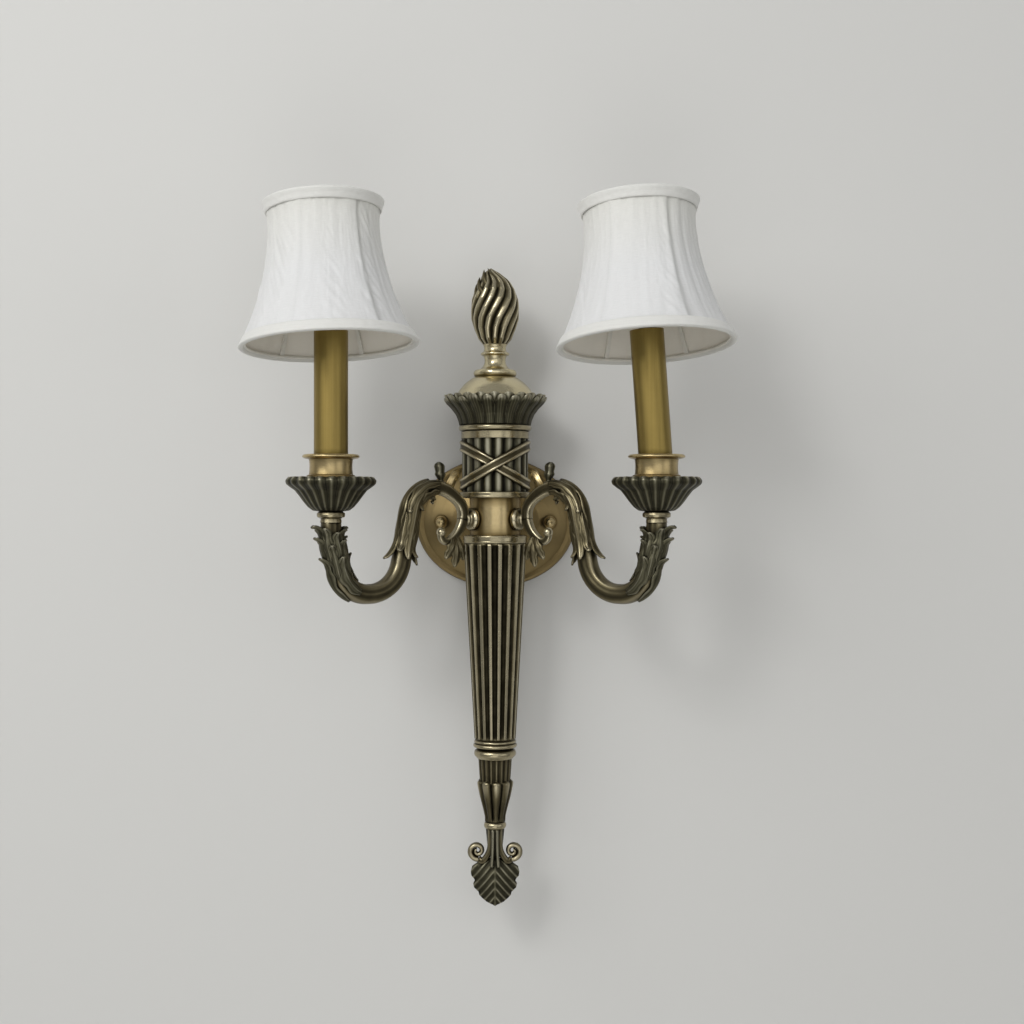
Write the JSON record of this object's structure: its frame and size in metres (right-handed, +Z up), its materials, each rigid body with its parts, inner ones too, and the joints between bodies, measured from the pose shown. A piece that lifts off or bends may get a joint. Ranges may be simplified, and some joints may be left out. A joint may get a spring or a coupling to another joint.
{
  "type": "double arm wall sconce",
  "caption": "Torch-shaped wall sconce in antique brass with scroll arms, candle sleeves and bell clip-on fabric shades on an oval back plate.",
  "frame": {"origin": "centre of the oval back plate in the plane of the wall, midway between the two box screw slots", "axes": "+Y into the wall, -Y out to the front, +Z up, +X to the viewer's right"},
  "size_m": [0.3523, 0.205, 0.5271],
  "materials": {
    "antique_brass": "dark antique patina, satin",
    "bulb_glass": "frosted",
    "contact_metal": "bright drawn",
    "golden_brass": "aged golden satin",
    "plated_steel": "zinc plated",
    "shade_fabric": "off-white slub silk",
    "shade_trim": "off-white binding",
    "socket_plastic": "black phenolic",
    "wire_sleeve": "insulated lead"
  },
  "bodies": {
    "fixture": {"arm_locknuts": "plated_steel", "back_plate": "golden_brass", "ball_nuts": "golden_brass", "block_rings": "antique_brass", "crossbar": "plated_steel", "crossed_ribbons": "antique_brass", "crown_dome": "golden_brass", "cup_nuts": "plated_steel", "double_ring": "antique_brass", "finial_stem": "golden_brass", "flame_finial": "antique_brass", "fluted_shaft": "antique_brass", "gadroon_cup": "antique_brass", "hub_body": "golden_brass", "hub_lid": "golden_brass", "hub_neck": "antique_brass", "hub_nipple": "plated_steel", "lead_wires": "wire_sleeve", "leaf_crown": "antique_brass", "left_arm": "antique_brass", "left_candle_cup": "golden_brass", "left_candle_sleeve": "golden_brass", "left_drip_pan": "antique_brass", "left_socket": "socket_plastic", "lower_rod": "plated_steel", "nipple_nut": "plated_steel", "nipple_washer": "plated_steel", "pan_collars": "antique_brass", "plate_studs": "plated_steel", "reeded_block": "antique_brass", "right_arm": "antique_brass", "right_candle_cup": "golden_brass", "right_candle_sleeve": "golden_brass", "right_drip_pan": "antique_brass", "right_socket": "socket_plastic", "rod_nut": "plated_steel", "screw_shells": "contact_metal", "shaft_collar": "antique_brass", "socket_contacts": "contact_metal", "socket_stems": "plated_steel", "stud_locknuts": "plated_steel", "tip_bead": "antique_brass", "tip_leaf": "antique_brass", "upper_rod": "plated_steel"},
    "left_contact": {"left_bulb_contact": "contact_metal"},
    "left_bulb": {"left_bulb_cap": "contact_metal", "left_bulb_glass": "bulb_glass"},
    "left_clip": {"left_bulb_clip": "plated_steel"},
    "left_shade": {"left_shade_cover": "shade_fabric", "left_shade_trims": "shade_trim", "left_shade_frame": "plated_steel", "left_clip_pin": "plated_steel"},
    "right_contact": {"right_bulb_contact": "contact_metal"},
    "right_bulb": {"right_bulb_cap": "contact_metal", "right_bulb_glass": "bulb_glass"},
    "right_clip": {"right_bulb_clip": "plated_steel"},
    "right_shade": {"right_shade_cover": "shade_fabric", "right_shade_trims": "shade_trim", "right_shade_frame": "plated_steel", "right_clip_pin": "plated_steel"}
  },
  "joints": [
    {"name": "left_bulb_rise", "type": "slide", "parent": "fixture", "child": "left_contact", "axis": [-0.0297, 0, 0.9996], "range_m": [0, 0.0127]},
    {"name": "left_bulb_turn", "type": "hinge", "parent": "left_contact", "child": "left_bulb", "pos_m": [-0.11632, -0.13145, 0.0423], "axis": [-0.0297, 0, 0.9996], "range_deg": [0, 1800]},
    {"name": "left_clip_lift", "type": "slide", "parent": "left_contact", "child": "left_clip", "axis": [-0.0297, 0, 0.9996], "range_m": [0, 0.09]},
    {"name": "left_shade_tilt", "type": "hinge", "parent": "left_clip", "child": "left_shade", "pos_m": [-0.12165, -0.13145, 0.22192], "axis": [1, 0, 0], "range_deg": [-10, 10]},
    {"name": "right_bulb_rise", "type": "slide", "parent": "fixture", "child": "right_contact", "axis": [-0.0698, 0, 0.9976], "range_m": [0, 0.0127]},
    {"name": "right_bulb_turn", "type": "hinge", "parent": "right_contact", "child": "right_bulb", "pos_m": [0.11632, -0.13145, 0.0423], "axis": [-0.0698, 0, 0.9976], "range_deg": [0, 1800]},
    {"name": "right_clip_lift", "type": "slide", "parent": "right_contact", "child": "right_clip", "axis": [-0.0698, 0, 0.9976], "range_m": [0, 0.09]},
    {"name": "right_shade_tilt", "type": "hinge", "parent": "right_clip", "child": "right_shade", "pos_m": [0.10378, -0.13145, 0.22156], "axis": [1, 0, 0], "range_deg": [-10, 10]}
  ],
  "couplings": [
    {"joint": "left_bulb_rise", "follows": "left_bulb_turn", "m_per_rad": 0.00040425},
    {"joint": "right_bulb_rise", "follows": "right_bulb_turn", "m_per_rad": 0.00040425}
  ]
}
